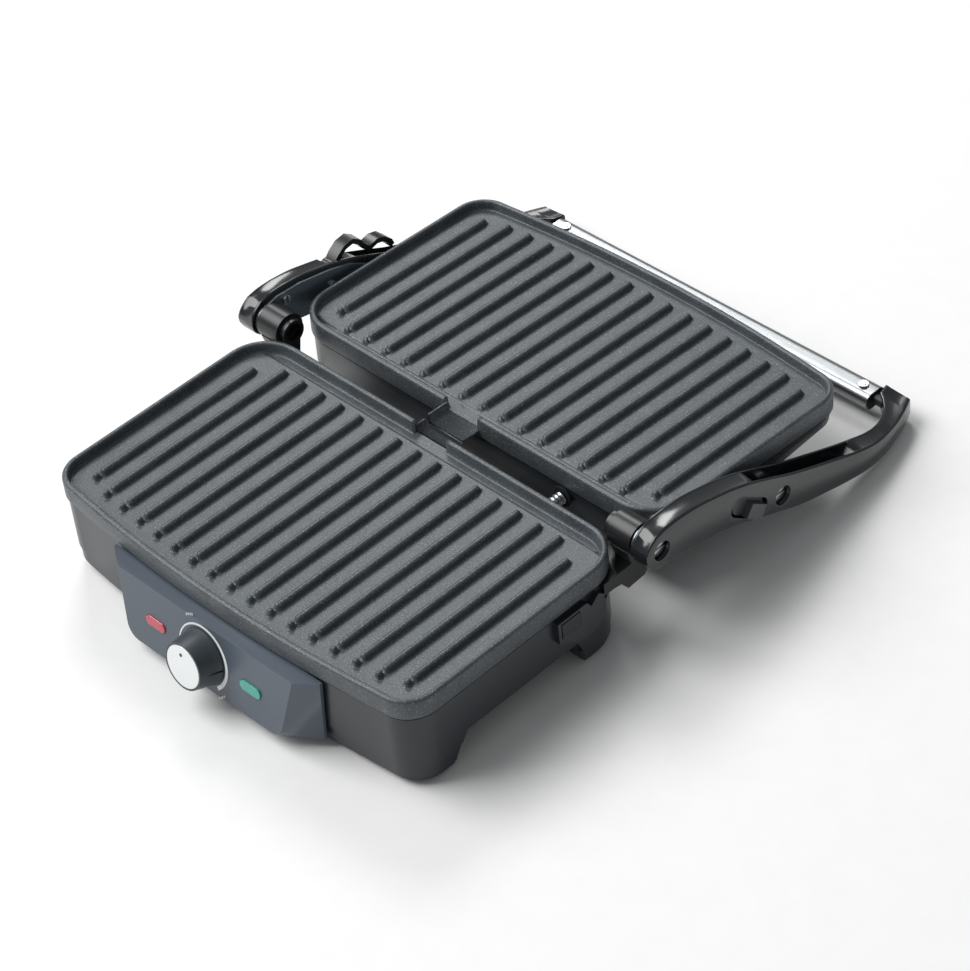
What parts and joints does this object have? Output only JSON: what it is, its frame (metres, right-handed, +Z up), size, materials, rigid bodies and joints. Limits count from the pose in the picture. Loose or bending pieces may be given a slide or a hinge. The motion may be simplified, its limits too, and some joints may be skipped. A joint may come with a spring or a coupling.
{
  "type": "panini press",
  "caption": "Contact grill press with two hinged ribbed non-stick plates, grease spouts, front panel with temperature knob and lamps, and a curved-arm bar handle, shown open flat.",
  "frame": {"origin": "on the table under the press, midway across and midway between the knob's face and the back of the handle", "axes": "+X to the machine's right seen from its front, +Y from the control panel to the handle, +Z up"},
  "size_m": [0.3338, 0.4367, 0.0813],
  "materials": {
    "casing": "charcoal satin casing",
    "dark_plastic": "black moulded plastic",
    "panel": "fine satin fascia",
    "red_lens": "tinted lamp lens",
    "green_lens": "tinted lamp lens",
    "ceramic": "unglazed ceramic",
    "rubber": "moulded rubber",
    "steel": "bright zinc",
    "non_stick": "fine-textured non-stick coat on cast aluminium",
    "heater": "heat-tinted sheath",
    "bright_sheet": "bright aluminised sheet",
    "sleeve": "coiled steel sleeve",
    "knob_black": "satin black",
    "silver": "pale silver lacquer",
    "arm_black": "satin slate black",
    "bracket_steel": "bluish plated steel",
    "stainless": "brushed stainless steel"
  },
  "bodies": {
    "base": {"base_housing": "casing", "bottom_cover": "dark_plastic", "control_panel": "panel", "power_lamp": "red_lens", "ready_lamp": "green_lens", "thermostat": "ceramic", "terminal_block": "ceramic", "thermal_fuse": "ceramic", "cord_gland": "rubber", "rubber_feet": "rubber", "bottom_screws": "steel", "lower_plate": "non_stick", "lower_element": "heater", "lower_reflector": "bright_sheet", "lower_plate_screws": "steel", "hinge_knuckle_left": "dark_plastic", "hinge_knuckle_right": "dark_plastic", "hinge_pins": "steel", "link_cable": "sleeve", "lower_grommet": "rubber"},
    "knob_body": {"knob": "knob_black", "knob_cap": "silver", "thermostat_shaft": "steel"},
    "catch_left": {"plate_catch_left": "dark_plastic"},
    "catch_right": {"plate_catch_right": "dark_plastic"},
    "arms": {"arm_left": "arm_black", "arm_right": "arm_black", "arm_bracket_left": "bracket_steel", "arm_bracket_right": "bracket_steel", "handle_bar": "stainless", "handle_core": "dark_plastic", "handle_screws": "steel", "bracket_screws": "steel", "height_lever_pin": "steel"},
    "lock": {"lock_lever": "arm_black"},
    "height": {"height_lever": "arm_black"},
    "lid": {"lid_housing": "casing", "upper_plate": "non_stick", "upper_element": "heater", "upper_reflector": "bright_sheet", "upper_plate_screws": "steel", "lid_bushes": "steel", "lid_pins": "steel", "upper_grommet": "rubber", "upper_fuse": "ceramic"}
  },
  "joints": [
    {"name": "arm_hinge", "type": "hinge", "parent": "base", "child": "arms", "pos_m": [0, -0.00937, 0.0665], "axis": [1, 0, 0], "range_deg": [0, 180]},
    {"name": "lid_pivot", "type": "hinge", "parent": "arms", "child": "lid", "pos_m": [0, 0.08763, 0.039], "axis": [1, 0, 0], "range_deg": [0, 2.5]},
    {"name": "knob_turn", "type": "hinge", "parent": "base", "child": "knob_body", "pos_m": [0, -0.20275, 0.0285], "axis": [0, -0.9848, 0.1736], "range_deg": [0, 270]},
    {"name": "lock_slide", "type": "slide", "parent": "arms", "child": "lock", "axis": [0, -0.809, 0.5878], "range_m": [0, 0.004]},
    {"name": "height_lever_turn", "type": "hinge", "parent": "arms", "child": "height", "pos_m": [0, 0.04863, 0.0645], "axis": [1, 0, 0], "range_deg": [0, 30]},
    {"name": "catch_left_press", "type": "slide", "parent": "base", "child": "catch_left", "axis": [1, 0, 0], "range_m": [0, 0.003], "stiffness_N_per_m": 800},
    {"name": "catch_right_press", "type": "slide", "parent": "base", "child": "catch_right", "axis": [-1, 0, 0], "range_m": [0, 0.003], "stiffness_N_per_m": 800}
  ],
  "couplings": [
    {"joint": "lid_pivot", "follows": "arm_hinge", "ratio": 0.013888}
  ]
}
